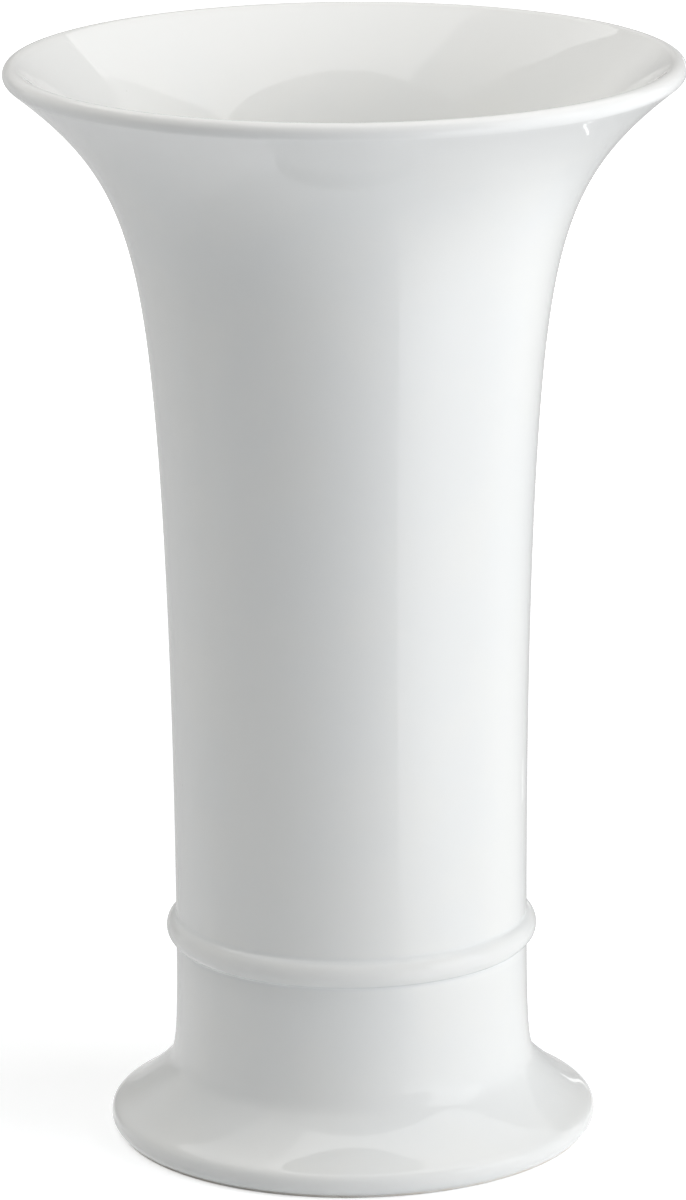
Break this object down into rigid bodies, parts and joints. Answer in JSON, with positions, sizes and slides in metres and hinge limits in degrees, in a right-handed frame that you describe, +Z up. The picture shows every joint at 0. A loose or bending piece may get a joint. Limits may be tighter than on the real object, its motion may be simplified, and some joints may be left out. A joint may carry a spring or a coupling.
{
  "type": "trumpet vase",
  "caption": "White glazed porcelain trumpet vase: tall neck flaring to a wide rolled lip, a low bead round the lower neck, and a spreading round foot on a bare standing ring.",
  "frame": {"origin": "centre of the circle that the vase stands on", "axes": "+Z up along the vase's axis of turning, which is its symmetry axis and its longest extent; X and Y level"},
  "size_m": [0.1532, 0.1532, 0.25],
  "materials": {
    "glaze": "clear gloss glaze over white porcelain",
    "biscuit": "bare fired porcelain, ground smooth"
  },
  "bodies": {
    "root": {"trumpet_body": "glaze", "bead_ring": "glaze", "foot": "glaze", "foot_ring": "biscuit"}
  },
  "joints": []
}
